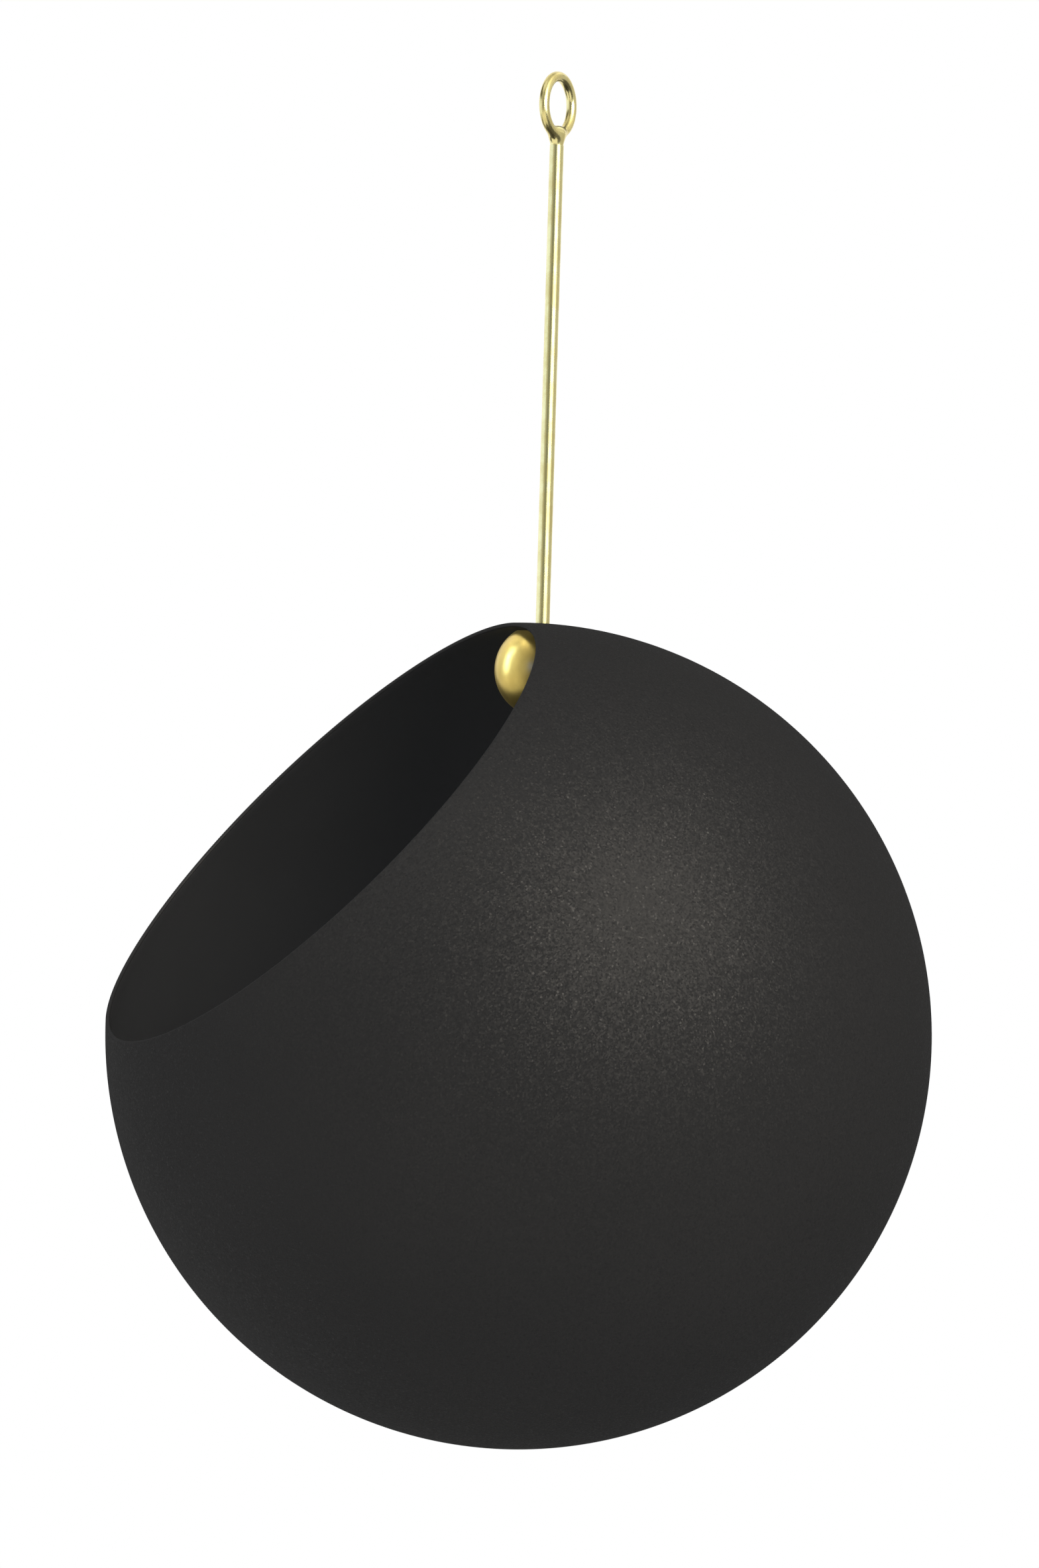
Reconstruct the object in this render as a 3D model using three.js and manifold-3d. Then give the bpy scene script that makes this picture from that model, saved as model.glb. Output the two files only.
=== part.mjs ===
// Hanging planter: a thin metal globe with a slanted round mouth, hung on a brass rod.
// The rod comes down through a hole beside the rim, and a ball knob on its lower end carries
// the globe from inside. A ring eye on its upper end goes over a hook.
//
// Millimetres, +Z up along the rod. The origin is the top of the eye's hole, where the hook
// bears. The mouth faces -X, and the XZ plane halves the globe.

import * as THREE from "three";
import { mergeVertices } from "three/addons/utils/BufferGeometryUtils.js";
import Module from "manifold-3d";

const wasm = await Module();
wasm.setup();

// Globe
const globeDiameter = 176;
const wallThickness = 1;
const mouthDiameter = 123; // across the middle of the rim's edge
const rimToRod = 6.75; // along the wall, from the middle of the rim to the rod's axis
const rodOffset = 2.7; // from the globe's centre to the rod, away from the mouth
const holeClearance = 0.5; // around the rod, each side

// Rod
const rodDiameter = 3;
const rodShown = 102; // between the eye's neck and the globe
const rodInBall = 10; // threaded end, below the ball's seat
const rodChamfer = 0.3;
const spigotDiameter = 1.5; // turned down to enter the eye's neck
const spigotLength = 2;

// Eye
const eyeHole = 10;
const eyeWire = 2.2;
const neckDiameter = 2.75;
const neckLength = 1.4;
const bossDiameter = 3.6; // where the neck swells into the ring
const crownRise = 0.35; // brazed crown inside the ring, above the wire
const eyeTurn = THREE.MathUtils.degToRad(-49); // of the ring about the rod, from the YZ plane
const brazeGap = 0.1;

// Ball knob
const ballDiameter = 20;
const seatDiameter = 11; // flat on top of the ball
const seatGap = 0.3;
const boreClearance = 0.1; // around the rod's thread, each side
const boreEnd = 0.6; // free depth below the rod's end

// Facets
const globeSteps = 64; // round the mouth's axis
const wallSteps = 22; // from the closed pole to the rim
const rimSteps = 4;
const rodSteps = 24;
const ballSteps = 40;
const ballRows = 18;
const ringSteps = 56;
const wireSteps = 16;
const neckRows = 5;
const weldDistance = 1e-4;

// The wall's radii, and its angles at the globe's centre: the mouth tilts so that its rim clears the rod
const globeRadius = globeDiameter / 2;
const innerRadius = globeRadius - wallThickness;
const middleRadius = globeRadius - wallThickness / 2;
const mouthAngle = Math.asin(mouthDiameter / 2 / middleRadius); // from the mouth's axis to its rim
const rodAngle = Math.asin(rodOffset / middleRadius); // from straight up to the rod's hole
const mouthTilt = mouthAngle + rimToRod / middleRadius - rodAngle; // from straight up, towards -X

// Levels along the rod, from the origin down
const ringCentreZ = -eyeHole / 2;
const ringRadius = (eyeHole + eyeWire) / 2;
const wireCentreZ = ringCentreZ - ringRadius;
const ringBottomZ = wireCentreZ - eyeWire / 2;
const neckEndZ = ringBottomZ - neckLength;
const rodTopZ = neckEndZ - brazeGap;
const holeTopZ = rodTopZ - rodShown;
const globeCentreZ = holeTopZ - Math.sqrt(globeRadius ** 2 - rodOffset ** 2);
const ballRadius = ballDiameter / 2;
const seatRadius = seatDiameter / 2;
const seatHeight = Math.sqrt(ballRadius ** 2 - seatRadius ** 2); // above the ball's centre
const seatWallZ = globeCentreZ + Math.sqrt(innerRadius ** 2 - (rodOffset + seatRadius) ** 2);
const seatZ = seatWallZ - seatGap;
const ballCentreZ = seatZ - seatHeight;
const rodEndZ = seatZ - rodInBall;

// Finishes
const blackCoat = new THREE.MeshStandardMaterial({ color: 0x2c2b2a, roughness: 0.6, metalness: 0 });
const polishedBrass = new THREE.MeshStandardMaterial({ color: 0xe5d68b, roughness: 0.18, metalness: 1 });
const satinBrass = new THREE.MeshStandardMaterial({ color: 0xdfc56e, roughness: 0.32, metalness: 1 });

// Points of an arc round (x, y), from one angle to the other
function arc(x, y, xRadius, yRadius, from, to, steps) {
  return new THREE.EllipseCurve(x, y, xRadius, yRadius, from, to, to < from).getPoints(steps);
}

function point(radius, height) {
  return new THREE.Vector2(radius, height);
}

// A solid of revolution about Z, from a profile of radius and height
function revolve(profile, steps) {
  return new THREE.LatheGeometry(profile, steps).rotateX(Math.PI / 2);
}

// A round cutter along Z
function drill(radius, bottomZ, topZ) {
  return revolve([point(0, bottomZ), point(radius, bottomZ), point(radius, topZ), point(0, topZ)], rodSteps);
}

// A closed geometry as a solid: seams and poles are welded, and collapsed triangles dropped
function toSolid(geometry) {
  const bare = geometry.clone();
  bare.deleteAttribute("normal");
  bare.deleteAttribute("uv");
  const welded = mergeVertices(bare, weldDistance);
  const corners = Array.from(welded.index.array);
  const triangles = [];
  for (let i = 0; i < corners.length; i += 3) {
    const triangle = corners.slice(i, i + 3);
    if (new Set(triangle).size === 3) triangles.push(...triangle);
  }
  return new wasm.Manifold(new wasm.Mesh({
    numProp: 3,
    vertProperties: welded.attributes.position.array,
    triVerts: new Uint32Array(triangles),
  }));
}

function toGeometry(solid) {
  const mesh = solid.getMesh();
  const geometry = new THREE.BufferGeometry();
  geometry.setAttribute("position", new THREE.BufferAttribute(mesh.vertProperties, mesh.numProp));
  geometry.setIndex(new THREE.BufferAttribute(mesh.triVerts, 1));
  geometry.computeVertexNormals();
  return geometry;
}

function named(name, solid, material) {
  const mesh = new THREE.Mesh(toGeometry(solid), material);
  mesh.name = name;
  return mesh;
}

// The globe's shell in its own frame, with the mouth's axis along Z and a rounded rim
function shell() {
  const rimAngle = Math.PI / 2 - mouthAngle;
  const rimX = middleRadius * Math.cos(rimAngle);
  const rimY = middleRadius * Math.sin(rimAngle);
  const pole = -Math.PI / 2;
  const edge = wallThickness / 2;
  return revolve([
    ...arc(0, 0, globeRadius, globeRadius, pole, rimAngle, wallSteps),
    ...arc(rimX, rimY, edge, edge, rimAngle, rimAngle + Math.PI, rimSteps).slice(1, -1),
    ...arc(0, 0, innerRadius, innerRadius, rimAngle, pole, wallSteps),
  ], globeSteps);
}

// The globe hangs tilted, and the rod's hole is drilled straight down through its top
function globePot() {
  const place = new THREE.Group();
  place.position.set(-rodOffset, 0, globeCentreZ);
  place.rotation.y = -mouthTilt;
  place.updateMatrixWorld();
  const hole = drill(rodDiameter / 2 + holeClearance, globeCentreZ, rodTopZ);
  hole.applyMatrix4(place.matrixWorld.clone().invert());
  place.add(named("globe_pot", toSolid(shell()).subtract(toSolid(hole)), blackCoat));
  return place;
}

// Straight rod: chamfered end in the ball below, shoulder and spigot in the eye above
function hangingRod() {
  const radius = rodDiameter / 2;
  const spigotRadius = spigotDiameter / 2;
  const profile = [
    point(0, rodEndZ),
    point(radius - rodChamfer, rodEndZ),
    point(radius, rodEndZ + rodChamfer),
    point(radius, rodTopZ),
    point(spigotRadius, rodTopZ),
    point(spigotRadius, rodTopZ + spigotLength),
    point(0, rodTopZ + spigotLength),
  ];
  return named("hanging_rod", toSolid(revolve(profile, rodSteps)), polishedBrass);
}

// Ring of round wire on a short neck that swells into it, with the rod's socket underneath
function eyeRing() {
  const ring = new THREE.TorusGeometry(ringRadius, eyeWire / 2, wireSteps, ringSteps);
  ring.rotateY(Math.PI / 2);
  ring.translate(0, 0, ringCentreZ);
  const neckRadius = neckDiameter / 2;
  const bossRadius = bossDiameter / 2;
  const flare = new THREE.QuadraticBezierCurve(
    point(neckRadius, ringBottomZ),
    point(neckRadius, (ringBottomZ + wireCentreZ) / 2),
    point(bossRadius, wireCentreZ),
  );
  const neck = revolve([
    point(0, neckEndZ),
    point(neckRadius, neckEndZ),
    ...flare.getPoints(neckRows),
    ...arc(0, wireCentreZ, bossRadius, eyeWire / 2 + crownRise, 0, Math.PI / 2, neckRows).slice(1),
  ], rodSteps);
  const socket = drill(spigotDiameter / 2 + brazeGap, rodTopZ, rodTopZ + spigotLength + brazeGap);
  const body = toSolid(ring).add(toSolid(neck)).subtract(toSolid(socket));
  const eye = named("eye_ring", body, polishedBrass);
  eye.rotation.z = eyeTurn;
  return eye;
}

// Ball knob with a flat seat on top and a blind bore for the rod
function stopBall() {
  const boreRadius = rodDiameter / 2 + boreClearance;
  const boreZ = seatHeight - rodInBall - boreEnd;
  const seatAngle = Math.acos(seatRadius / ballRadius);
  const profile = [
    ...arc(0, 0, ballRadius, ballRadius, -Math.PI / 2, seatAngle, ballRows),
    point(boreRadius, seatHeight),
    point(boreRadius, boreZ),
    point(0, boreZ),
  ];
  const ball = named("stop_ball", toSolid(revolve(profile, ballSteps)), satinBrass);
  ball.position.z = ballCentreZ;
  return ball;
}

const planter = new THREE.Group();
planter.add(globePot(), hangingRod(), eyeRing(), stopBall());

export default planter;
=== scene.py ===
"""Dresses the hanging planter: a coated metal globe on a brass rod with a ring eye and a ball knob.

Lengths are metres in the planter's own frame: +Z up along the rod, the origin at the top of the
eye's hole, and the globe's mouth facing -X.
"""

import logging
import math
from dataclasses import dataclass
from enum import Enum

import bmesh
import bpy
import numpy as np
from mathutils import Matrix, Vector

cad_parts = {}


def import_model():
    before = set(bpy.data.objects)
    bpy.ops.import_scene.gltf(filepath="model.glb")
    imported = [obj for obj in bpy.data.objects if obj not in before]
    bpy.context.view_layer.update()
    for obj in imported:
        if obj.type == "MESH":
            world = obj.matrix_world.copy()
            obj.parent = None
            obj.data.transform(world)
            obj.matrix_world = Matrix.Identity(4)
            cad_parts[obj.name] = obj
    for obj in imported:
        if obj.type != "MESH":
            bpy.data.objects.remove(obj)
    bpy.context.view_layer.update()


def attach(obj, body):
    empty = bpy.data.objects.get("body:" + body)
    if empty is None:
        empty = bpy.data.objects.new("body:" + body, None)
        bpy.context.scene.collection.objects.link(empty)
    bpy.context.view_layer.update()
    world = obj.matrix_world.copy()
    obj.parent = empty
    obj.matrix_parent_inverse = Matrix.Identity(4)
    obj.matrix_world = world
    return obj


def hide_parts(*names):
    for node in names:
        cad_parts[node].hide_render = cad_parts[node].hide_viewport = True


LOG = logging.getLogger("planter")
MM = 0.001
FULL_TURN = 2 * math.pi

Point = tuple[float, float]
Triple = tuple[float, float, float]
Colour = Triple
Input = bpy.types.NodeSocket | float | tuple[float, ...]


class Body(Enum):
    """Moving bodies that the pieces ride on."""

    HANGER = "hanger"
    BALL = "ball"
    POT = "pot"


class Brasswork(Enum):
    """Groups of bare brass pieces that a card can be aimed at."""

    HANGER = "hanger_brass"
    EYE = "eye_brass"
    BALL = "ball_brass"


class Slot(Enum):
    """Material slots of the part's record."""

    BLACK_COAT = "black_coat"
    POLISHED_BRASS = "polished_brass"
    SATIN_BRASS = "satin_brass"


class Socket(Enum):
    """Kinds of sockets that a node group has."""

    NUMBER = "NodeSocketFloat"
    VECTOR = "NodeSocketVector"


# Meshes


def arc(centre: Point, radius: float, start: float, end: float, steps: int) -> list[Point]:
    """Gives the points of an arc in the plane of radius and height.

    Args:
        centre: Radius and height of the arc's centre.
        radius: The arc's radius.
        start: First angle, in radians from the outward direction.
        end: Last angle.
        steps: Number of steps between them.

    Returns:
        The points, ends included.
    """
    angles = np.linspace(start, end, steps + 1)
    return [(centre[0] + radius * math.cos(a), centre[1] + radius * math.sin(a)) for a in angles]


def revolve(profile: list[Point], steps: int) -> bmesh.types.BMesh:
    """Turns a profile about Z into a closed mesh.

    Args:
        profile: Points of radius and height, from the axis back to the axis.
        steps: Number of faces round the axis.

    Returns:
        The mesh, with its faces pointing out.
    """
    on_axis = 1e-9
    mesh = bmesh.new()
    rings = []
    turns = [FULL_TURN * i / steps for i in range(steps)]
    for radius, height in profile:
        if radius < on_axis:
            rings.append([mesh.verts.new((0, 0, height))] * steps)
        else:
            ring = [(radius * math.cos(turn), radius * math.sin(turn), height) for turn in turns]
            rings.append([mesh.verts.new(corner) for corner in ring])
    for lower, upper in zip(rings, rings[1:]):
        for i in range(steps):
            j = (i + 1) % steps
            corners = dict.fromkeys((lower[i], lower[j], upper[j], upper[i]))
            mesh.faces.new(list(corners))
    bmesh.ops.recalc_face_normals(mesh, faces=mesh.faces)
    return mesh


def to_object(mesh: bmesh.types.BMesh, name: str) -> bpy.types.Object:
    """Makes a scene object of a mesh, and frees the mesh.

    Args:
        mesh: The mesh to take.
        name: The object's name.

    Returns:
        The object, in the scene.
    """
    data = bpy.data.meshes.new(name)
    mesh.to_mesh(data)
    mesh.free()
    piece = bpy.data.objects.new(name, data)
    bpy.context.scene.collection.objects.link(piece)
    return piece


def apply_modifiers(piece: bpy.types.Object) -> None:
    """Puts a piece's modifiers into its mesh.

    Args:
        piece: The piece, which has no modifiers afterwards.
    """
    evaluated = piece.evaluated_get(bpy.context.evaluated_depsgraph_get())
    data = bpy.data.meshes.new_from_object(evaluated)
    piece.modifiers.clear()
    piece.data = data


def smooth(piece: bpy.types.Object, sharp_angle: float = math.radians(35)) -> None:
    """Shades a piece smooth, except at edges sharper than an angle."""
    piece.data.shade_smooth()
    piece.data.set_sharp_from_angle(angle=sharp_angle)


def seat(piece: bpy.types.Object, node: str, body: Body) -> None:
    """Lets a piece stand for a solid, and reports it.

    Args:
        piece: The piece.
        node: Name of the solid.
        body: The body that the piece moves with.
    """
    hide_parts(node)
    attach(piece, body.value)
    LOG.info("%s: %d faces, rides on %s", piece.name, len(piece.data.polygons), body.value)


# Shader nodes


class Shader:
    """Adds nodes to one node tree and links them."""

    def __init__(self, tree: bpy.types.NodeTree) -> None:
        """Takes the tree to add to."""
        self.tree = tree

    def node(self, kind: str, **settings: object) -> bpy.types.Node:
        """Adds a node.

        Args:
            kind: The node's type.
            settings: Its properties by name.

        Returns:
            The node.
        """
        made = self.tree.nodes.new(kind)
        for key, value in settings.items():
            setattr(made, key, value)
        return made

    def feed(self, socket: bpy.types.NodeSocket, value: Input) -> None:
        """Feeds a socket.

        Args:
            socket: The socket to feed.
            value: Another socket to link it to, or a plain value.
        """
        if isinstance(value, bpy.types.NodeSocket):
            self.tree.links.new(value, socket)
        else:
            socket.default_value = value

    def feed_all(self, node: bpy.types.Node, values: dict[str, Input]) -> bpy.types.Node:
        """Feeds several inputs of a node.

        Args:
            node: The node.
            values: Sockets or plain values, by the inputs' names.

        Returns:
            The same node.
        """
        for key, value in values.items():
            self.feed(node.inputs[key], value)
        return node

    def math(self, operation: str, first: Input, second: Input) -> bpy.types.NodeSocket:
        """Adds a math node.

        Args:
            operation: The math node's operation.
            first: A socket or a number.
            second: A socket or a number.

        Returns:
            The node's output.
        """
        made = self.node("ShaderNodeMath", operation=operation)
        self.feed(made.inputs[0], first)
        self.feed(made.inputs[1], second)
        return made.outputs[0]

    def vector(self, operation: str, *values: Input) -> bpy.types.NodeSocket:
        """Adds a vector math node.

        Args:
            operation: The node's operation.
            values: Its inputs in order.

        Returns:
            The node's vector.
        """
        made = self.node("ShaderNodeVectorMath", operation=operation)
        for socket, value in zip(made.inputs, values):
            self.feed(socket, value)
        return made.outputs["Vector"]

    def remap(self, value: bpy.types.NodeSocket, source: Point, target: Point) -> bpy.types.NodeSocket:
        """Adds a smooth remapping of a value.

        Args:
            value: The value to remap.
            source: Two values of the input.
            target: The outputs at these two, and beyond them.

        Returns:
            The remapped output.
        """
        made = self.node("ShaderNodeMapRange", interpolation_type="SMOOTHSTEP")
        self.feed_all(made, {"Value": value, "From Min": source[0], "From Max": source[1]})
        self.feed_all(made, {"To Min": target[0], "To Max": target[1]})
        return made.outputs["Result"]

    def mix(self, factor: Input, first: Colour, second: Colour) -> bpy.types.NodeSocket:
        """Adds a mix of two colours.

        Args:
            factor: Share of the second colour.
            first: The first colour.
            second: The second colour.

        Returns:
            The mixed colour.
        """
        made = self.node("ShaderNodeMix", data_type="RGBA")
        self.feed(made.inputs["Factor"], factor)
        colours = [socket for socket in made.inputs if socket.type == "RGBA"]
        self.feed(colours[0], (*first, 1))
        self.feed(colours[1], (*second, 1))
        return next(socket for socket in made.outputs if socket.type == "RGBA")

    def blend(
        self, factor: Input, first: bpy.types.NodeSocket, second: bpy.types.NodeSocket
    ) -> bpy.types.NodeSocket:
        """Adds a mix of two surfaces.

        Args:
            factor: Share of the second surface.
            first: The first surface.
            second: The second surface.

        Returns:
            The mixed surface.
        """
        made = self.node("ShaderNodeMixShader")
        for socket, value in zip(made.inputs, (factor, first, second)):
            self.feed(socket, value)
        return made.outputs["Shader"]

    def specks(
        self, place: bpy.types.NodeSocket, scale: Input, share: Input, edge: Point
    ) -> bpy.types.NodeSocket:
        """Adds scattered round specks.

        Args:
            place: The coordinates to scatter in.
            scale: Cells per metre, each with one place for a speck.
            share: Share of the cells that hold a speck.
            edge: Where a speck starts to fall off and where it ends, as parts of a cell.

        Returns:
            The specks' height, from 0 to 1.
        """
        lowest = 0.45
        cells = self.node("ShaderNodeTexVoronoi")
        self.feed_all(cells, {"Vector": place, "Scale": scale})
        lot = self.node("ShaderNodeSeparateColor")
        self.feed(lot.inputs["Color"], cells.outputs["Color"])
        chosen = self.math("LESS_THAN", lot.outputs["Red"], share)
        height = self.remap(lot.outputs["Green"], (0, 1), (lowest, 1))
        lump = self.remap(cells.outputs["Distance"], edge, (1, 0))
        return self.math("MULTIPLY", chosen, self.math("MULTIPLY", lump, height))

    def bump(
        self, height: bpy.types.NodeSocket, depth: float, wall: bpy.types.NodeSocket | None = None
    ) -> bpy.types.NodeSocket:
        """Adds a bump.

        Args:
            height: The height, from 0 to 1.
            depth: The length that a height of 1 stands for.
            wall: The normal to start from, where it isn't the surface's own.

        Returns:
            The bumped normal.
        """
        made = self.node("ShaderNodeBump")
        self.feed_all(made, {"Height": height, "Distance": depth, "Strength": 1.0})
        if wall is not None:
            self.feed(made.inputs["Normal"], wall)
        return made.outputs["Normal"]

    def group(self, tree: bpy.types.NodeTree, values: dict[str, Input]) -> bpy.types.Node:
        """Places a node group with its own input values, and returns its node."""
        made = self.node("ShaderNodeGroup", node_tree=tree)
        return self.feed_all(made, values)


def new_group(
    name: str, inputs: list[str], outputs: dict[str, Socket]
) -> tuple[Shader, bpy.types.Node, bpy.types.Node]:
    """Starts a node group.

    Args:
        name: The group's name.
        inputs: Names of its inputs, which are all numbers.
        outputs: Names and kinds of its outputs.

    Returns:
        A shader on the group's tree, its input node and its output node.
    """
    tree = bpy.data.node_groups.new(name, "ShaderNodeTree")
    for key in inputs:
        tree.interface.new_socket(key, in_out="INPUT", socket_type=Socket.NUMBER.value)
    for key, kind in outputs.items():
        tree.interface.new_socket(key, in_out="OUTPUT", socket_type=kind.value)
    shader = Shader(tree)
    return shader, shader.node("NodeGroupInput"), shader.node("NodeGroupOutput")


def new_material(name: str) -> tuple[bpy.types.Material, Shader, bpy.types.Node]:
    """Starts a material.

    Args:
        name: The material's name.

    Returns:
        The material, a shader on its tree and its surface node.
    """
    material = bpy.data.materials.new(name)
    material.use_nodes = True
    shader = Shader(material.node_tree)
    return material, shader, material.node_tree.nodes["Principled BSDF"]


def powder_grain() -> bpy.types.NodeTree:
    """Returns the group for the grain of a powder coat, built at its first use.

    Returns:
        The group: grains per metre, their tilt, the share of them that glints and the share of
        pits that shows go in, and the grains' normal, the masks of glints and pits and a slow
        cloudiness come out.
    """
    name = "powder_grain"
    if name in bpy.data.node_groups:
        return bpy.data.node_groups[name]
    clouds_per_metre = 28.0
    cloud_detail = 4.0
    cloud_range = (0.35, 0.65)
    pit_places_per_metre = 400.0
    pit_edge = (0.06, 0.24)
    upright = (0.5, 0.5, 0.5)
    inputs = ["Grains", "Tilt", "Glints", "Pits"]
    outputs = {"Normal": Socket.VECTOR, "Glint": Socket.NUMBER, "Pit": Socket.NUMBER, "Cloud": Socket.NUMBER}
    shader, entry, leave = new_group(name, inputs, outputs)
    place = shader.node("ShaderNodeTexCoord").outputs["Object"]
    sand = shader.node("ShaderNodeTexVoronoi")
    shader.feed_all(sand, {"Vector": place, "Scale": entry.outputs["Grains"]})
    lean = shader.vector("SUBTRACT", sand.outputs["Color"], upright)
    wall = shader.node("ShaderNodeNewGeometry").outputs["Normal"]
    tilted = shader.vector("MULTIPLY_ADD", lean, entry.outputs["Tilt"], wall)
    draw = shader.node("ShaderNodeTexWhiteNoise")
    shader.feed(draw.inputs["Vector"], sand.outputs["Position"])
    glint = shader.math("LESS_THAN", draw.outputs["Value"], entry.outputs["Glints"])
    pit = shader.specks(place, pit_places_per_metre, entry.outputs["Pits"], pit_edge)
    clouds = shader.node("ShaderNodeTexNoise")
    shader.feed_all(clouds, {"Vector": place, "Scale": clouds_per_metre, "Detail": cloud_detail})
    cloud = shader.remap(clouds.outputs["Fac"], cloud_range, (0, 1))
    normal = shader.vector("NORMALIZE", tilted)
    shader.feed_all(leave, {"Normal": normal, "Glint": glint, "Pit": pit, "Cloud": cloud})
    return shader.tree


def polish_lines() -> bpy.types.NodeTree:
    """Returns the group for the fine lines and the tarnish of brass, built at its first use.

    Returns:
        The group: lines per metre across and along the rod's direction go in, and the lines'
        height and the tarnish come out.
    """
    name = "polish_lines"
    if name in bpy.data.node_groups:
        return bpy.data.node_groups[name]
    line_detail = 3.0
    blotches_per_metre = 190.0
    blotch_detail = 5.0
    blotch_roughness = 0.65
    blotch_range = (0.35, 0.68)
    outputs = {"Line": Socket.NUMBER, "Tarnish": Socket.NUMBER}
    shader, entry, leave = new_group(name, ["Across", "Along"], outputs)
    place = shader.node("ShaderNodeTexCoord").outputs["Object"]
    stretch = shader.node("ShaderNodeCombineXYZ")
    across = entry.outputs["Across"]
    shader.feed_all(stretch, {"X": across, "Y": across, "Z": entry.outputs["Along"]})
    drawn = shader.vector("MULTIPLY", place, stretch.outputs["Vector"])
    lines = shader.node("ShaderNodeTexNoise")
    shader.feed_all(lines, {"Vector": drawn, "Scale": 1.0, "Detail": line_detail})
    blotches = shader.node("ShaderNodeTexNoise")
    shader.feed_all(blotches, {"Vector": place, "Scale": blotches_per_metre})
    shader.feed_all(blotches, {"Detail": blotch_detail, "Roughness": blotch_roughness})
    tarnish = shader.remap(blotches.outputs["Fac"], blotch_range, (0, 1))
    shader.feed_all(leave, {"Line": lines.outputs["Fac"], "Tarnish": tarnish})
    return shader.tree


# Finishes


@dataclass(frozen=True)
class PowderCoat:
    """Matt powder coat on sheet metal.

    Grains are counted per metre, and tilt is how far they lean. Glints are the share of grains that
    are glossy, and pits the share of their places that hold one. The three values of roughness are
    for plain grains, glints and pits.
    """

    name: str
    dark: Colour
    light: Colour
    grains: float
    tilt: float
    glints: float
    pits: float
    pit_depth: float
    roughness: Triple
    specular: float

    def material(self) -> bpy.types.Material:
        """Builds the coat.

        Returns:
            The material.
        """
        material, shader, surface = new_material(self.name)
        values = {"Grains": self.grains, "Tilt": self.tilt, "Glints": self.glints, "Pits": self.pits}
        grain = shader.group(powder_grain(), values)
        plain, glossy, pitted = self.roughness
        pit = grain.outputs["Pit"]
        sheen = shader.remap(grain.outputs["Glint"], (0, 1), (plain, glossy))
        roughness = shader.math("MAXIMUM", sheen, shader.math("MULTIPLY", pit, pitted))
        hollow = shader.math("SUBTRACT", 1.0, pit)
        normal = shader.bump(hollow, self.pit_depth, grain.outputs["Normal"])
        colour = shader.mix(grain.outputs["Cloud"], self.dark, self.light)
        shader.feed_all(surface, {"Base Color": colour, "Roughness": roughness, "Normal": normal})
        shader.feed(surface.inputs["Specular IOR Level"], self.specular)
        return material


@dataclass(frozen=True)
class Brass:
    """Bare brass with fine lines from its polishing and a light tarnish.

    Lines are counted per metre, across the rod's direction and along it. The two values of
    roughness are for bright and for tarnished metal.
    """

    name: str
    bright: Colour
    warm: Colour
    lines_across: float
    lines_along: float
    line_depth: float
    roughness: Point

    def material(self) -> bpy.types.Material:
        """Builds the brass.

        Returns:
            The material.
        """
        material, shader, surface = new_material(self.name)
        polish = shader.group(polish_lines(), {"Across": self.lines_across, "Along": self.lines_along})
        tarnish = polish.outputs["Tarnish"]
        colour = shader.mix(tarnish, self.bright, self.warm)
        roughness = shader.remap(tarnish, (0, 1), self.roughness)
        normal = shader.bump(polish.outputs["Line"], self.line_depth)
        shader.feed_all(surface, {"Base Color": colour, "Roughness": roughness, "Normal": normal})
        shader.feed(surface.inputs["Metallic"], 1.0)
        return material


OUTER_COAT = PowderCoat(
    name="textured_coat",
    dark=(0.0212, 0.0210, 0.0212),
    light=(0.0224, 0.0221, 0.0222),
    grains=2800,
    tilt=0.43,
    glints=0.11,
    pits=0.5,
    pit_depth=0.04 * MM,
    roughness=(0.52, 0.36, 0.9),
    specular=0.5,
)
# Painted light: the inside coat is a copy of the same black coat made about four times as light as the outer
# coat, standing in for light inside the globe.
INNER_COAT_PAINTED_LIGHT = PowderCoat(
    name="smooth_coat_painted_light",
    dark=(0.0815, 0.0840, 0.0880),
    light=(0.0873, 0.0899, 0.0942),
    grains=3000,
    tilt=0.05,
    glints=0.0,
    pits=0.02,
    pit_depth=0.01 * MM,
    roughness=(0.52, 0.4, 0.7),
    specular=0.3,
)
# Smooth rim coat. Its colour is a little lighter than the outer coat: painted light that lifts the shade on
# the rounded rim.
RIM_COAT_PAINTED_LIGHT = PowderCoat(
    name="rim_coat_painted_light",
    dark=(0.0270, 0.0270, 0.0275),
    light=(0.0290, 0.0290, 0.0295),
    grains=3000,
    tilt=0.08,
    glints=0.0,
    pits=0.02,
    pit_depth=0.01 * MM,
    roughness=(0.5, 0.4, 0.7),
    specular=0.5,
)
DRAWN_BRASS = Brass(
    name="drawn_brass",
    bright=(0.79, 0.72, 0.35),
    warm=(0.70, 0.60, 0.25),
    lines_across=9000,
    lines_along=90,
    line_depth=0.003 * MM,
    roughness=(0.22, 0.3),
)
SATIN_BRASS = Brass(
    name="satin_brass",
    bright=(0.78, 0.68, 0.30),
    warm=(0.68, 0.56, 0.21),
    lines_across=2500,
    lines_along=2500,
    line_depth=0.002 * MM,
    roughness=(0.22, 0.32),
)
TURNED_BRASS = Brass(
    name="turned_brass",
    bright=(0.76, 0.58, 0.16),
    warm=(0.68, 0.50, 0.13),
    lines_across=70,
    lines_along=7000,
    line_depth=0.004 * MM,
    roughness=(0.3, 0.36),
)


# Sub-assemblies


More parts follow.
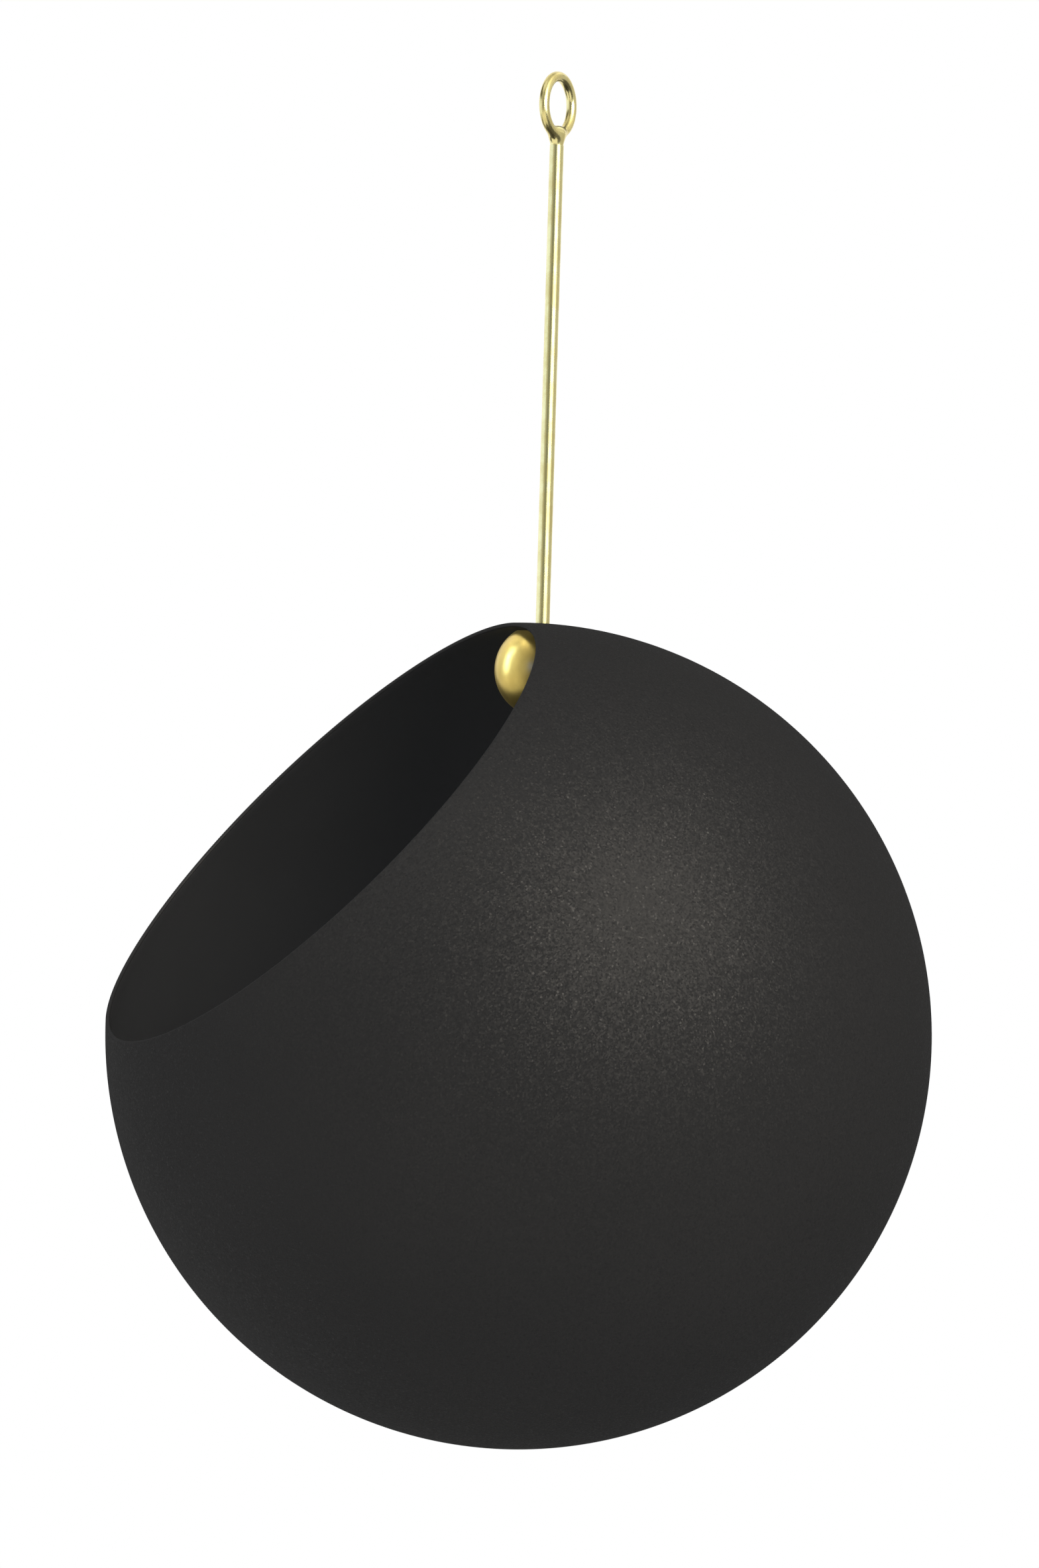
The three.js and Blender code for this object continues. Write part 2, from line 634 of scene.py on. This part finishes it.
@dataclass
class Hanger:
    """Brass rod with a ring eye of round wire on its upper end."""

    rod_radius: float = 1.5 * MM
    rod_shown: float = 102 * MM
    rod_in_ball: float = 10 * MM
    rod_chamfer: float = 0.3 * MM
    shoulder_chamfer: float = 0.02 * MM
    spigot_radius: float = 0.75 * MM
    spigot_length: float = 2 * MM
    seam: float = 0.1 * MM
    eye_hole_radius: float = 5 * MM
    wire_radius: float = 1.1 * MM
    neck_radius: float = 1.375 * MM
    neck_length: float = 1.4 * MM
    blend_radius: float = 2.2 * MM
    eye_turn: float = math.radians(-49)
    rod_steps: int = 96
    neck_steps: int = 32
    ring_beads: int = 120
    mesh_step: float = 0.16 * MM

    @property
    def ring_radius(self) -> float:
        """Radius of the ring at the middle of its wire."""
        return self.eye_hole_radius + self.wire_radius

    @property
    def ring_z(self) -> float:
        """Height of the ring's centre."""
        return -self.eye_hole_radius

    @property
    def wire_z(self) -> float:
        """Height of the wire's middle at the bottom of the ring."""
        return self.ring_z - self.ring_radius

    @property
    def neck_end_z(self) -> float:
        """Height of the neck's lower face."""
        return self.wire_z - self.wire_radius - self.neck_length

    @property
    def rod_top_z(self) -> float:
        """Height of the solid rod's shoulder, a seam below the neck."""
        return self.neck_end_z - self.seam

    @property
    def globe_top_z(self) -> float:
        """Height at which the rod goes into the globe."""
        return self.rod_top_z - self.rod_shown

    def rod(self, seat_z: float) -> bpy.types.Object:
        """Builds the rod, from the ball up against the neck, so that the seam is closed.

        Args:
            seat_z: Height of the ball's seat.

        Returns:
            The rod.
        """
        end_z = seat_z - self.rod_in_ball
        top_z = self.neck_end_z
        tip_z = self.rod_top_z + self.spigot_length
        profile = [
            (0, end_z),
            (self.rod_radius - self.rod_chamfer, end_z),
            (self.rod_radius, end_z + self.rod_chamfer),
            (self.rod_radius, top_z - self.shoulder_chamfer),
            (self.rod_radius - self.shoulder_chamfer, top_z),
            (self.spigot_radius, top_z),
            (self.spigot_radius, tip_z),
            (0, tip_z),
        ]
        return to_object(revolve(profile, self.rod_steps), "brass_rod")

    def distance(self, points: np.ndarray) -> np.ndarray:
        """Gives the signed distance to the ring and neck, blended where they meet.

        Args:
            points: Rows of x, y and z, with the ring in the YZ plane.

        Returns:
            One distance for each row, negative inside.
        """
        x, y, z = points.T
        ring = np.hypot(np.hypot(y, z - self.ring_z) - self.ring_radius, x) - self.wire_radius
        above = np.maximum(z - self.wire_z, 0)
        neck = np.sqrt(x**2 + y**2 + above**2) - self.neck_radius
        share = np.clip(0.5 + 0.5 * (neck - ring) / self.blend_radius, 0, 1)
        return neck + (ring - neck) * share - self.blend_radius * share * (1 - share)

    def eye(self) -> bpy.types.Object:
        """Builds the ring with its neck, turned about the rod, with a socket for the rod.

        Beads along the ring and a cone for the neck, both a little too thick, are melted into an
        even mesh, which then settles on the blended form.

        Returns:
            The eye.
        """
        bead_radius = 1.1 * self.wire_radius
        cone_top_radius = 1.2 * self.neck_radius
        bottom_z = self.neck_end_z - self.neck_length
        length = self.wire_z - bottom_z
        mesh = bmesh.new()
        step = FULL_TURN / self.ring_beads
        for i in range(self.ring_beads):
            across = self.ring_radius * math.cos(i * step)
            height = self.ring_z + self.ring_radius * math.sin(i * step)
            place = Matrix.Translation((0, across, height))
            bmesh.ops.create_icosphere(mesh, subdivisions=2, radius=bead_radius, matrix=place)
        bmesh.ops.create_cone(
            mesh,
            cap_ends=True,
            segments=self.neck_steps,
            radius1=self.neck_radius,
            radius2=cone_top_radius,
            depth=length,
            matrix=Matrix.Translation((0, 0, bottom_z + length / 2)),
        )
        piece = to_object(mesh, "ring_eye")
        remesh = piece.modifiers.new("even", "REMESH")
        remesh.mode = "VOXEL"
        remesh.voxel_size = self.mesh_step
        apply_modifiers(piece)
        self.settle(piece.data, free_above=bottom_z + self.neck_length / 2)
        self.open_socket(piece.data)
        piece.rotation_euler.z = self.eye_turn
        return piece

    def settle(self, data: bpy.types.Mesh, free_above: float) -> None:
        """Moves a mesh's points onto the blended form.

        Args:
            data: The mesh.
            free_above: Only points above this height move.
        """
        rounds = 6
        probe = 0.01 * MM
        least_steepness = 0.2
        points = np.empty(len(data.vertices) * 3)
        data.vertices.foreach_get("co", points)
        points = points.reshape(-1, 3)
        free = points[:, 2] > free_above
        for _ in range(rounds):
            here = self.distance(points)
            beside = [self.distance(points + probe * axis) for axis in np.eye(3)]
            slope = (np.stack(beside, axis=1) - here[:, None]) / probe
            steepness = np.maximum((slope**2).sum(axis=1), least_steepness)
            shift = (here / steepness)[:, None] * slope
            points[free] -= shift[free]
        data.vertices.foreach_set("co", points.ravel())
        data.update()

    def open_socket(self, data: bpy.types.Mesh) -> None:
        """Cuts the neck off flat and sinks the rod's socket into it.

        Args:
            data: The eye's mesh.
        """
        mesh = bmesh.new()
        mesh.from_mesh(data)
        everything = mesh.verts[:] + mesh.edges[:] + mesh.faces[:]
        cut = bmesh.ops.bisect_plane(
            mesh, geom=everything, plane_co=(0, 0, self.neck_end_z), plane_no=(0, 0, -1), clear_outer=True
        )
        rim = [item for item in cut["geom_cut"] if isinstance(item, bmesh.types.BMEdge)]
        end = bmesh.ops.contextual_create(mesh, geom=rim)["faces"]
        wall = self.neck_radius - self.spigot_radius - self.seam
        bmesh.ops.inset_individual(mesh, faces=end, thickness=wall)
        sunk = bmesh.ops.extrude_discrete_faces(mesh, faces=end)["faces"]
        depth = self.spigot_length + self.seam
        bmesh.ops.translate(mesh, verts=sunk[0].verts[:], vec=(0, 0, depth))
        bmesh.ops.recalc_face_normals(mesh, faces=mesh.faces)
        mesh.to_mesh(data)
        mesh.free()

    def build(self, seat_z: float) -> list[bpy.types.Object]:
        """Builds and dresses the rod and the eye.

        Args:
            seat_z: Height of the ball's seat.

        Returns:
            The rod and the eye.
        """
        rod = self.rod(seat_z)
        eye = self.eye()
        for piece, node, finish in ((rod, "hanging_rod", DRAWN_BRASS), (eye, "eye_ring", SATIN_BRASS)):
            smooth(piece)
            piece.data.materials.append(finish.material())
            seat(piece, node, Body.HANGER)
        return [rod, eye]


@dataclass
class GlobePot:
    """Thin metal globe with a slanted round mouth and a hole for the rod.

    The rim's own coat starts at coat_edge from the faces of the wall. The hole's cutter goes past
    the wall by cutter_past.
    """

    rod_x: float
    rod_radius: float
    top_z: float
    radius: float = 88 * MM
    wall: float = 1 * MM
    mouth_radius: float = 61.5 * MM
    rim_to_rod: float = 6.75 * MM
    rod_offset: float = 2.7 * MM
    hole_clearance: float = 0.5 * MM
    hole_chamfer: float = 0.15 * MM
    cutter_past: float = 1.5 * MM
    coat_edge: float = 0.02 * MM
    wall_steps: int = 120
    rim_steps: int = 10
    turn_steps: int = 256
    hole_steps: int = 64

    @property
    def inner_radius(self) -> float:
        """Radius of the globe's inside."""
        return self.radius - self.wall

    @property
    def middle_radius(self) -> float:
        """Radius of the middle of the wall."""
        return self.radius - self.wall / 2

    @property
    def mouth_angle(self) -> float:
        """Angle at the globe's centre between the mouth's axis and its rim."""
        return math.asin(self.mouth_radius / self.middle_radius)

    @property
    def mouth_tilt(self) -> float:
        """Angle of the mouth's axis from straight up, towards -X."""
        to_rod = self.mouth_angle + self.rim_to_rod / self.middle_radius
        return to_rod - math.asin(self.rod_offset / self.middle_radius)

    @property
    def centre(self) -> Vector:
        """Place of the globe's centre."""
        rise = math.sqrt(self.radius**2 - self.rod_offset**2)
        return Vector((self.rod_x - self.rod_offset, 0, self.top_z - rise))

    def inside_z(self, reach: float) -> float:
        """Gives the height of the inside wall at a distance beyond the rod, away from the mouth."""
        return self.centre.z + math.sqrt(self.inner_radius**2 - (self.rod_offset + reach) ** 2)

    def shell(self) -> bpy.types.Object:
        """Builds the shell with its rounded rim.

        Returns:
            The shell, tilted and in place.
        """
        pole = -math.pi / 2
        rim = math.pi / 2 - self.mouth_angle
        edge = (self.middle_radius * math.cos(rim), self.middle_radius * math.sin(rim))
        profile = [
            *arc((0, 0), self.radius, pole, rim, self.wall_steps),
            *arc(edge, self.wall / 2, rim, rim + math.pi, self.rim_steps)[1:-1],
            *arc((0, 0), self.inner_radius, rim, pole, self.wall_steps),
        ]
        profile[0] = (0, -self.radius)
        profile[-1] = (0, -self.inner_radius)
        mesh = revolve(profile, self.turn_steps)
        place = Matrix.Translation(self.centre) @ Matrix.Rotation(-self.mouth_tilt, 4, "Y")
        bmesh.ops.transform(mesh, matrix=place, verts=mesh.verts)
        return to_object(mesh, "globe")

    def drill(self, piece: bpy.types.Object) -> None:
        """Drills the rod's hole through the wall, with both edges broken.

        Args:
            piece: The shell.
        """
        radius = self.rod_radius + self.hole_clearance
        flared = radius + self.cutter_past + self.hole_chamfer
        inside_z = self.inside_z(0)
        profile = [
            (0, inside_z - self.cutter_past),
            (flared, inside_z - self.cutter_past),
            (radius, inside_z + self.hole_chamfer),
            (radius, self.top_z - self.hole_chamfer),
            (flared, self.top_z + self.cutter_past),
            (0, self.top_z + self.cutter_past),
        ]
        cutter = to_object(revolve(profile, self.hole_steps), "hole_cutter")
        cutter.location.x = self.rod_x
        cut = piece.modifiers.new("hole", "BOOLEAN")
        cut.operation = "DIFFERENCE"
        cut.solver = "EXACT"
        cut.object = cutter
        apply_modifiers(piece)
        bpy.data.objects.remove(cutter)

    def build(self) -> None:
        """Builds and dresses the globe: textured outside, smooth inside and on the rim, whose lighter coats
        are painted light.
        """
        piece = self.shell()
        self.drill(piece)
        smooth(piece)
        piece.data.materials.clear()
        for coat in (INNER_COAT_PAINTED_LIGHT, RIM_COAT_PAINTED_LIGHT, OUTER_COAT):
            piece.data.materials.append(coat.material())
        limits = (self.inner_radius + self.coat_edge, self.radius - self.coat_edge)
        for face in piece.data.polygons:
            reach = (face.center - self.centre).length
            face.material_index = sum(reach > limit for limit in limits)
        seat(piece, "globe_pot", Body.POT)


@dataclass
class BallKnob:
    """Turned brass ball with a flat seat on top, screwed on the rod's lower end."""

    rod_radius: float
    radius: float = 10 * MM
    seat_radius: float = 5.5 * MM
    seat_gap: float = 0.3 * MM
    seat_chamfer: float = 0.25 * MM
    bore_clearance: float = 0.1 * MM
    bore_depth: float = 10.6 * MM
    side_steps: int = 80
    turn_steps: int = 128

    def build(self, seat_z: float) -> bpy.types.Object:
        """Builds and dresses the ball.

        Args:
            seat_z: Height of the ball's seat.

        Returns:
            The ball.
        """
        rise = math.sqrt(self.radius**2 - self.seat_radius**2)
        edge = math.acos((self.seat_radius + self.seat_chamfer) / self.radius)
        bore = self.rod_radius + self.bore_clearance
        profile = [
            *arc((0, 0), self.radius, -math.pi / 2, edge, self.side_steps),
            (self.seat_radius - self.seat_chamfer / 2, rise),
            (bore, rise),
            (bore, rise - self.bore_depth),
            (0, rise - self.bore_depth),
        ]
        profile[0] = (0, -self.radius)
        mesh = revolve(profile, self.turn_steps)
        bmesh.ops.translate(mesh, verts=mesh.verts, vec=(0, 0, seat_z - rise))
        piece = to_object(mesh, "brass_ball")
        smooth(piece)
        piece.data.materials.append(TURNED_BRASS.material())
        seat(piece, "stop_ball", Body.BALL)
        return piece


# Studio


@dataclass(frozen=True)
class Softbox:
    """Soft lamp, or a pale card that is flagged off everything but one group of brass pieces.

    Angles are degrees from the globe: to the camera's right, and above the horizon. Radiance is
    the brightness of its face, where white paper is about 1.
    """

    name: str
    azimuth: float
    elevation: float
    size: Point
    radiance: float
    colour: Colour = (1, 1, 1)
    only: Brasswork | None = None


SOFTBOXES = (
    Softbox("key_lamp", 33, 31.5, (0.8, 0.8), 3.0, (1, 0.92, 0.8)),
    Softbox("upper_lamp", 60, 50, (0.8, 0.8), 0.35, (1, 0.94, 0.86)),
    Softbox("mouth_lamp", -60, 62, (0.8, 0.8), 0.3),
    Softbox("left_fill", -120, -22, (1.8, 1.6), 0.07),
    Softbox("rod_left", -98, 4, (2.0, 0.9), 1.5, (0.68, 0.77, 1), only=Brasswork.HANGER),
    Softbox("rod_dim_left", -47, 16, (0.6, 1.5), 0.48, only=Brasswork.HANGER),
    Softbox("rod_middle", -15, 16, (0.9, 1.5), 0.2, (0.85, 0.93, 0.9), only=Brasswork.HANGER),
    Softbox("rod_front", 33, 8, (1.2, 0.6), 2.7, (0.8, 0.86, 1), only=Brasswork.HANGER),
    Softbox("eye_front", 30, 14, (0.9, 0.5), 16.0, (0.8, 0.86, 1), only=Brasswork.EYE),
    Softbox("rod_right", 95, 4, (2.2, 0.9), 0.52, only=Brasswork.HANGER),
    Softbox("rod_back", 180, 10, (2.6, 3.4), 1.0, only=Brasswork.HANGER),
    Softbox("rod_top", -30, 80, (2.0, 1.6), 0.6, only=Brasswork.HANGER),
    Softbox("rod_above", 80, 46, (2.2, 1.2), 0.8, only=Brasswork.HANGER),
    Softbox("rod_low", -35, -46, (2.8, 1.5), 1.0, only=Brasswork.HANGER),
    Softbox("ball_strip", -96, 20, (0.08, 1.0), 27.0, (0.58, 0.72, 1), only=Brasswork.BALL),
    Softbox("ball_left", -95, 12, (1.6, 1.4), 0.55, only=Brasswork.BALL),
    Softbox("ball_back", -158, 28, (1.6, 2.0), 0.85, only=Brasswork.BALL),
    Softbox("ball_top", -120, 50, (1.3, 0.8), 0.4, only=Brasswork.BALL),
    Softbox("ball_middle", -52, 18, (0.9, 1.7), 0.4, only=Brasswork.BALL),
    Softbox("ball_crown", -75, 66, (0.5, 0.6), 1.6, only=Brasswork.BALL),
    Softbox("ball_low", -95, -36, (2.4, 1.2), 0.6, only=Brasswork.BALL),
    Softbox("ball_blue", -27, 11, (0.2, 0.45), 1.6, (0.05, 0.14, 1), only=Brasswork.BALL),
)


@dataclass
class Studio:
    """White studio: a camera, soft lamps, cards for the brass and a pale floor far below.

    The camera stands so that the globe has the place and size, in pixels, that it has in a picture
    of the given width and height. The levels are the backdrop's brightness to diffuse light and in
    glossy reflections, where its brightness to the camera is 1.
    """

    aim: Vector
    globe_radius: float
    view_azimuth: float = math.radians(-20.3)
    roll: float = math.radians(1.7)
    distance: float = 1.408
    photo_width: int = 1568
    photo_height: int = 2367
    globe_pixel: Point = (782.55, 1562.47)
    globe_pixel_radius: float = 622.57
    sensor: float = 36.0
    lamp_distance: float = 1.3
    diffuse_level: float = 0.85
    glossy_level: float = 0.1
    floor_drop: float = 0.22
    floor_radius: float = 6.0
    floor_steps: int = 96
    floor_fade: Point = (0.2, 0.75)
    floor_colour: Colour = (0.86, 0.86, 0.86)
    floor_roughness: float = 0.9

    @property
    def right(self) -> Vector:
        """Level direction to the camera's right."""
        return Vector((math.cos(self.view_azimuth), math.sin(self.view_azimuth), 0))

    @property
    def front(self) -> Vector:
        """Level direction from the globe to the camera."""
        return Vector((math.sin(self.view_azimuth), -math.cos(self.view_azimuth), 0))

    def direction(self, azimuth: float, elevation: float) -> Vector:
        """Gives a direction from the globe.

        Args:
            azimuth: Degrees to the camera's right.
            elevation: Degrees above the horizon.

        Returns:
            The unit vector.
        """
        turn, rise = math.radians(azimuth), math.radians(elevation)
        level = self.right * math.sin(turn) + self.front * math.cos(turn)
        return level * math.cos(rise) + Vector((0, 0, math.sin(rise)))

    def camera(self) -> None:
        """Places the camera level with the middle of the picture, and rolls it a little."""
        up = Vector((0, 0, 1))
        right = self.right * math.cos(self.roll) + up * math.sin(self.roll)
        above = up * math.cos(self.roll) - self.right * math.sin(self.roll)
        pixels_per_metre = self.globe_pixel_radius / self.globe_radius
        offset_x = (self.photo_width / 2 - self.globe_pixel[0]) / pixels_per_metre
        offset_y = (self.globe_pixel[1] - self.photo_height / 2) / pixels_per_metre
        middle = self.aim + right * offset_x + above * offset_y
        data = bpy.data.cameras.new("camera")
        data.sensor_width = self.sensor
        data.lens = pixels_per_metre * self.distance * self.sensor / self.photo_height
        camera = bpy.data.objects.new("camera", data)
        place = Matrix((right, above, self.front)).transposed().to_4x4()
        place.translation = middle + self.front * self.distance
        camera.matrix_world = place
        bpy.context.scene.collection.objects.link(camera)
        bpy.context.scene.camera = camera

    def hang(self, softbox: Softbox, brass: dict[Brasswork, bpy.types.Collection]) -> None:
        """Hangs a soft lamp that faces the globe.

        Args:
            softbox: The lamp.
            brass: The collections of brass pieces that a card can light.
        """
        width, height = softbox.size
        data = bpy.data.lights.new(softbox.name, "AREA")
        data.shape = "RECTANGLE"
        data.size = width
        data.size_y = height
        data.energy = softbox.radiance * width * height * math.pi
        data.color = softbox.colour
        lamp = bpy.data.objects.new(softbox.name, data)
        towards = self.direction(softbox.azimuth, softbox.elevation)
        lamp.location = self.aim + towards * self.lamp_distance
        lamp.rotation_euler = towards.to_track_quat("Z", "Y").to_euler()
        lamp.visible_camera = False
        if softbox.only is not None:
            lamp.light_linking.receiver_collection = brass[softbox.only]
            lamp.light_linking.blocker_collection = brass[softbox.only]
        bpy.context.scene.collection.objects.link(lamp)

    def world(self) -> None:
        """Sets the backdrop: white to the camera, plain to diffuse light and dim to gloss."""
        world = bpy.data.worlds.new("studio")
        bpy.context.scene.world = world
        world.use_nodes = True
        world.cycles.sampling_method = "NONE"
        shader = Shader(world.node_tree)
        ray = shader.node("ShaderNodeLightPath")
        fill = shader.math("MULTIPLY", ray.outputs["Is Diffuse Ray"], self.diffuse_level)
        gloss = shader.math("MULTIPLY", ray.outputs["Is Glossy Ray"], self.glossy_level)
        level = shader.math("MAXIMUM", ray.outputs["Is Camera Ray"], shader.math("MAXIMUM", fill, gloss))
        background = world.node_tree.nodes["Background"]
        shader.feed_all(background, {"Color": (1, 1, 1, 1), "Strength": level})

    def floor_material(self) -> bpy.types.Material:
        """Builds the floor's finish: pale, fading to white for the camera, and clear from below.

        Returns:
            The material.
        """
        material, shader, surface = new_material("pale_floor")
        shader.feed(surface.inputs["Base Color"], (*self.floor_colour, 1))
        shader.feed(surface.inputs["Roughness"], self.floor_roughness)
        reach = shader.node("ShaderNodeVectorMath", operation="LENGTH")
        shader.feed(reach.inputs[0], shader.node("ShaderNodeTexCoord").outputs["Object"])
        far = shader.remap(reach.outputs["Value"], self.floor_fade, (0, 1))
        seen = shader.node("ShaderNodeLightPath").outputs["Is Camera Ray"]
        fade = shader.math("MULTIPLY", far, seen)
        white = shader.node("ShaderNodeEmission")
        shader.feed(white.inputs["Strength"], 1.0)
        faded = shader.blend(fade, surface.outputs["BSDF"], white.outputs["Emission"])
        under = shader.node("ShaderNodeNewGeometry").outputs["Backfacing"]
        clear = shader.node("ShaderNodeBsdfTransparent")
        sided = shader.blend(under, faded, clear.outputs["BSDF"])
        shader.feed(material.node_tree.nodes["Material Output"].inputs["Surface"], sided)
        return material

    def floor(self, bottom_z: float) -> None:
        """Lays the floor.

        Args:
            bottom_z: Height of the globe's lowest point.
        """
        mesh = bmesh.new()
        bmesh.ops.create_circle(mesh, cap_ends=True, segments=self.floor_steps, radius=self.floor_radius)
        floor = to_object(mesh, "studio_floor")
        floor.location = (self.aim.x, self.aim.y, bottom_z - self.floor_drop)
        floor.visible_glossy = False
        floor.data.materials.append(self.floor_material())

    def build(self, bottom_z: float, brass: dict[Brasswork, list[bpy.types.Object]]) -> None:
        """Builds the studio.

        Args:
            bottom_z: Height of the globe's lowest point.
            brass: The pieces of each group of bare brass, which the coat's gloss doesn't show.
        """
        bpy.context.scene.view_settings.view_transform = "Standard"
        self.camera()
        self.world()
        self.floor(bottom_z)
        lit = {}
        for group, pieces in brass.items():
            lit[group] = bpy.data.collections.new(group.value)
            for piece in pieces:
                piece.visible_glossy = False
                lit[group].objects.link(piece)
        for softbox in SOFTBOXES:
            self.hang(softbox, lit)


def main() -> None:
    """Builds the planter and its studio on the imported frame."""
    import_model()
    hanger = Hanger()
    pot = GlobePot(rod_x=0.0, rod_radius=hanger.rod_radius, top_z=hanger.globe_top_z)
    ball = BallKnob(rod_radius=hanger.rod_radius)
    seat_z = pot.inside_z(ball.seat_radius) - ball.seat_gap
    rod, eye = hanger.build(seat_z)
    knob = ball.build(seat_z)
    pot.build()
    studio = Studio(aim=pot.centre, globe_radius=pot.radius)
    brass = {Brasswork.HANGER: [rod, eye], Brasswork.EYE: [eye], Brasswork.BALL: [knob]}
    studio.build(pot.centre.z - pot.radius, brass)


if __name__ == "__main__":
    logging.basicConfig(level=logging.INFO)
    main()
